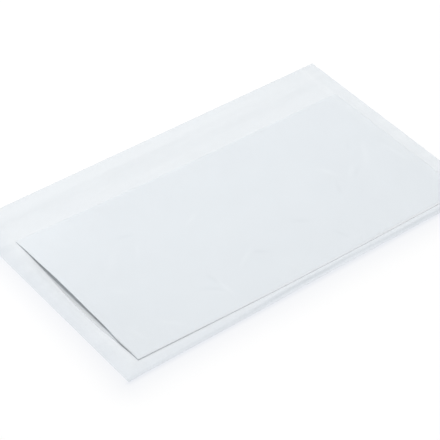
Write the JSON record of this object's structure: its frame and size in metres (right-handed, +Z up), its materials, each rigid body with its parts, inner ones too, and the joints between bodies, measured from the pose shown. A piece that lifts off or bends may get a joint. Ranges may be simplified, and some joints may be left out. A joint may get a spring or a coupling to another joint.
{
  "type": "clear poly mailing bag with a folded letter",
  "caption": "Flat clear polythene mailing bag, welded at both ends and open along one side, with a folded white letter showing through it.",
  "frame": {"origin": "on the surface that the bag lies on, under the middle of the bag", "axes": "+X along the bag's length, from the end where the letter's top leaf stands open; +Y from the open mouth to the folded side; +Z up"},
  "size_m": [0.23, 0.132, 0.0033],
  "materials": {
    "clear_film": "clear, slightly milky polythene film",
    "white_paper": "plain uncoated paper"
  },
  "bodies": {
    "root": {"bag_film": "clear_film", "folded_letter": "white_paper"}
  },
  "joints": []
}
